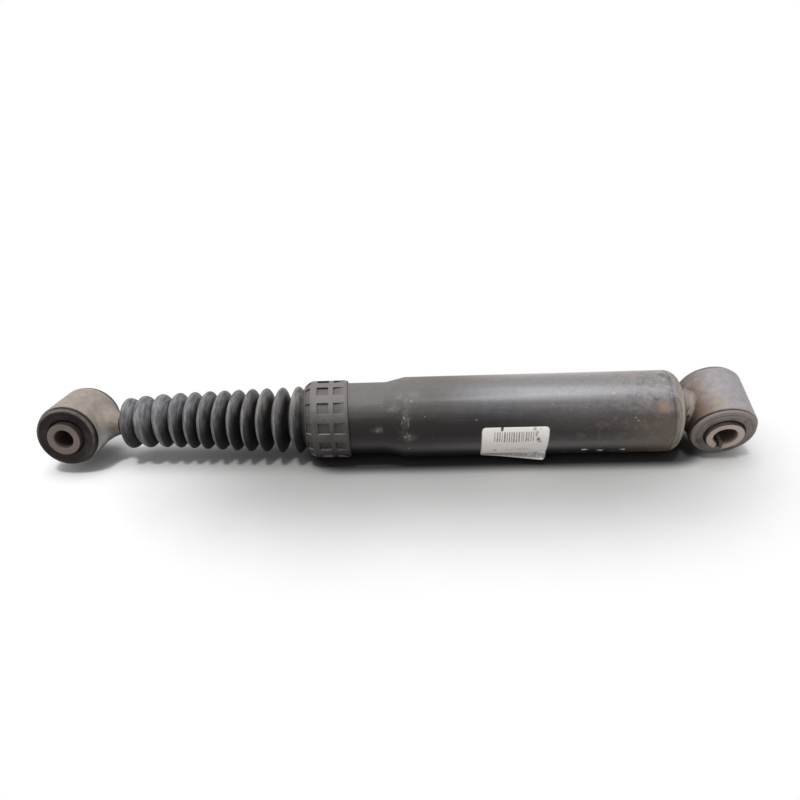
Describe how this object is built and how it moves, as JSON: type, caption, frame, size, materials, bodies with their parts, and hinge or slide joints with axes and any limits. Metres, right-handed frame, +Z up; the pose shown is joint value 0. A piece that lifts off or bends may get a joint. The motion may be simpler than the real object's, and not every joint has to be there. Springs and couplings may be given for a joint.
{
  "type": "rear shock absorber",
  "caption": "Telescopic twin-tube rear damper with a bushed eye at each end, a ribbed rubber gaiter over the rod and a windowed collar on the necked body.",
  "frame": {"origin": "on the surface the damper lies on, under the middle of its length and width", "axes": "+X along the damper's axis from the rod's upper eye to the body's lower eye, +Z up, -Y the side that faces the viewer"},
  "size_m": [0.4428, 0.0508, 0.0508],
  "materials": {
    "black_paint": "satin black paint, scuffed, with rust near the lower end",
    "weathered_steel": "dull, dusty steel with light rust",
    "rubber": "matt, dusty",
    "dark_plastic": "moulded, matt",
    "plain_steel": "plain machined steel, oily",
    "bright_steel": "hard chromed and polished",
    "sintered_iron": "sintered, grey",
    "bearing_bronze": "plain bronze bearing"
  },
  "bodies": {
    "body": {"reserve_tube": "black_paint", "base_cap": "weathered_steel", "lower_eye": "weathered_steel", "lower_bush_rubber": "rubber", "gaiter_collar": "dark_plastic", "gaiter": "rubber", "pressure_tube": "plain_steel", "seal_washer": "plain_steel", "rod_seal": "rubber", "rod_guide": "sintered_iron", "guide_bush": "bearing_bronze", "guide_o_ring": "rubber", "base_valve_body": "sintered_iron", "base_star_spring": "plain_steel", "base_valve_shims": "plain_steel", "base_valve_bolt": "plain_steel", "base_valve_nut": "plain_steel"},
    "lower_sleeve": {"lower_bush_sleeve": "weathered_steel"},
    "base_disc": {"base_check_disc": "plain_steel"},
    "band": {"piston_band": "dark_plastic"},
    "rod": {"piston_rod": "bright_steel", "upper_eye": "weathered_steel", "upper_bush_rubber": "rubber", "rebound_bumper": "dark_plastic", "rebound_stop_ring": "plain_steel", "spring_retainer": "plain_steel", "piston_star_spring": "plain_steel", "piston": "sintered_iron", "rebound_shims": "plain_steel", "backing_washer": "plain_steel", "piston_nut": "plain_steel"},
    "upper_sleeve": {"upper_bush_sleeve": "weathered_steel"},
    "piston_disc": {"piston_check_disc": "plain_steel"}
  },
  "joints": [
    {"name": "rod_slide", "type": "slide", "parent": "body", "child": "band", "axis": [1, 0, 0], "range_m": [0, 0.085], "deforming": ["gaiter"]},
    {"name": "rod_turn", "type": "hinge", "parent": "band", "child": "rod", "pos_m": [0, 0, 0.02538], "axis": [1, 0, 0], "continuous": true},
    {"name": "upper_bush_twist", "type": "hinge", "parent": "rod", "child": "upper_sleeve", "pos_m": [-0.2015, 0, 0.02538], "axis": [0, -0.9976, 0.0698], "range_deg": [-25, 25], "stiffness_Nm_per_rad": 40},
    {"name": "lower_bush_twist", "type": "hinge", "parent": "body", "child": "lower_sleeve", "pos_m": [0.2015, 0, 0.02538], "axis": [0, -0.9336, -0.3584], "range_deg": [-25, 25], "stiffness_Nm_per_rad": 40},
    {"name": "piston_check_lift", "type": "slide", "parent": "rod", "child": "piston_disc", "axis": [-1, 0, 0], "range_m": [0, 0.0008], "stiffness_N_per_m": 2000, "deforming": ["piston_star_spring"]},
    {"name": "base_check_lift", "type": "slide", "parent": "body", "child": "base_disc", "axis": [-1, 0, 0], "range_m": [0, 0.0008], "stiffness_N_per_m": 2000, "deforming": ["base_star_spring"]}
  ]
}
